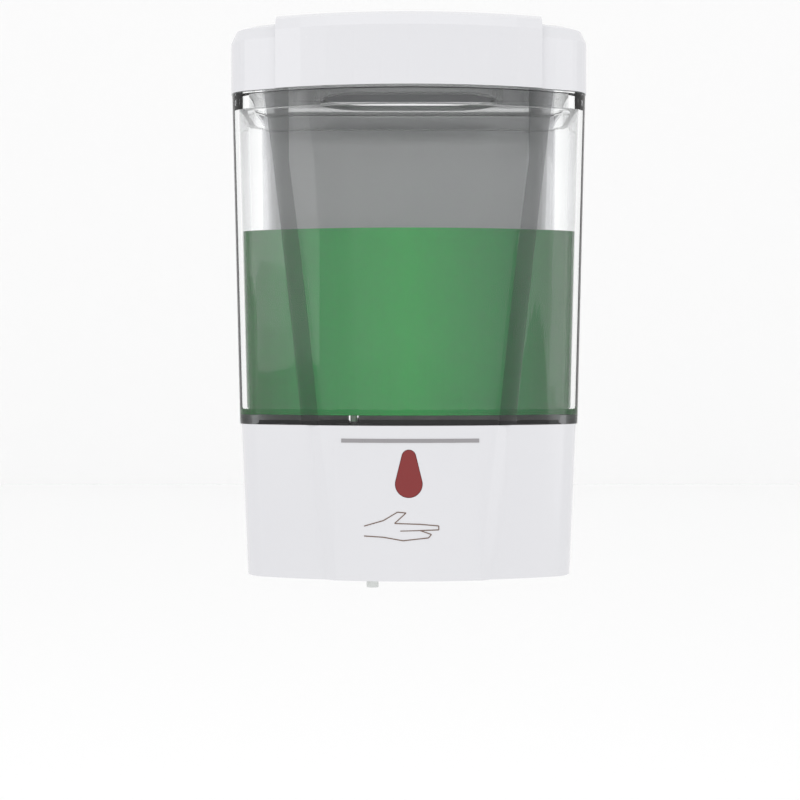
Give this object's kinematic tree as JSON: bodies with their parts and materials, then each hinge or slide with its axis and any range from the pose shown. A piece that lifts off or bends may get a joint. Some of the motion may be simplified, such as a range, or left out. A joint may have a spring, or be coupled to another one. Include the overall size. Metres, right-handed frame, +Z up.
{
  "type": "wall mounted soap dispenser",
  "caption": "Wall hung sensor soap dispenser: clear tank with green soap on a white pump base, hinged lid, battery door and hook-on wall bracket.",
  "frame": {"origin": "centre of the wall bracket's four screw holes, on the wall plane", "axes": "+Z up, -Y out of the wall towards the user, +X to the right as the user sees it"},
  "size_m": [0.131, 0.104, 0.208],
  "materials": {
    "white_abs": "glossy",
    "bracket_abs": "matte",
    "inner_abs": "matte",
    "clear_tank": "clear glossy",
    "soap": "clear liquid",
    "filter_plastic": "satin",
    "silicone": "satin",
    "red_lens": "glossy",
    "circuit_board": "satin",
    "led_clear": "glossy",
    "led_dark": "glossy",
    "led_red": "glossy",
    "cell_wrap": "satin",
    "contact_metal": "polished",
    "steel": "brushed",
    "switch_black": "matte",
    "motor_plastic": "matte",
    "brass_gear": "satin",
    "gear_plastic": "satin",
    "pump_plastic": "satin",
    "lead_red": "satin",
    "lead_black": "satin"
  },
  "bodies": {
    "bracket": {"wall_bracket": "bracket_abs"},
    "lid": {"lid": "white_abs"},
    "battery_door": {"battery_door": "white_abs"},
    "switch": {"switch_knob": "switch_black"},
    "motor_rotor": {"motor_armature": "steel", "motor_pinion": "brass_gear"},
    "pump_drive": {"reduction_gear": "gear_plastic", "pump_shaft": "steel", "pump_drive_gear": "gear_plastic"},
    "pump_idler": {"pump_idler_gear": "gear_plastic"},
    "housing": {"back_plate": "white_abs", "rear_housing": "white_abs", "base_shell": "white_abs", "deck_plate": "inner_abs", "tank_body": "clear_tank", "tank_deck": "clear_tank", "soap_fill": "soap", "inlet_filter": "filter_plastic", "tank_grommet": "silicone", "lid_pins": "steel", "sensor_lens": "red_lens", "sensor_board": "circuit_board", "ir_emitter": "led_clear", "ir_receiver": "led_dark", "status_led": "led_red", "battery_tray": "inner_abs", "battery_cell_1": "cell_wrap", "battery_cell_2": "cell_wrap", "battery_cell_3": "cell_wrap", "battery_cell_4": "cell_wrap", "contact_plates": "contact_metal", "contact_springs": "contact_metal", "door_pin": "steel", "switch_body": "inner_abs", "drive_plate": "inner_abs", "motor_can": "steel", "motor_endbell": "motor_plastic", "idler_pin": "steel", "pump_housing": "pump_plastic", "pump_cover": "pump_plastic", "inlet_sleeve": "silicone", "outlet_hose": "silicone", "outlet_nozzle": "white_abs", "pump_screws": "steel", "motor_screws": "steel", "board_screws": "steel", "deck_screws": "steel", "back_screws": "steel", "battery_leads": "lead_red", "motor_leads": "lead_black"}
  },
  "joints": [
    {"name": "housing_lift", "type": "slide", "parent": "bracket", "child": "housing", "axis": [0, 0, 1], "range_m": [0, 0.008]},
    {"name": "lid_hinge", "type": "hinge", "parent": "housing", "child": "lid", "pos_m": [0, -0.015, 0.066], "axis": [-1, 0, 0], "range_deg": [0, 85]},
    {"name": "battery_door_hinge", "type": "hinge", "parent": "housing", "child": "battery_door", "pos_m": [0, -0.014, -0.1216], "axis": [1, 0, 0], "range_deg": [0, 90]},
    {"name": "power_switch_slide", "type": "slide", "parent": "housing", "child": "switch", "axis": [1, 0, 0], "range_m": [0, 0.003]},
    {"name": "motor_spin", "type": "hinge", "parent": "housing", "child": "motor_rotor", "pos_m": [0, -0.0598, -0.08874], "axis": [1, 0, 0], "continuous": true},
    {"name": "pump_spin", "type": "hinge", "parent": "housing", "child": "pump_drive", "pos_m": [0, -0.079, -0.08874], "axis": [1, 0, 0], "continuous": true},
    {"name": "idler_spin", "type": "hinge", "parent": "housing", "child": "pump_idler", "pos_m": [0, -0.089, -0.08874], "axis": [1, 0, 0], "continuous": true}
  ],
  "couplings": [
    {"joint": "pump_spin", "follows": "motor_spin", "ratio": -0.33333},
    {"joint": "idler_spin", "follows": "motor_spin", "ratio": 0.33333}
  ]
}
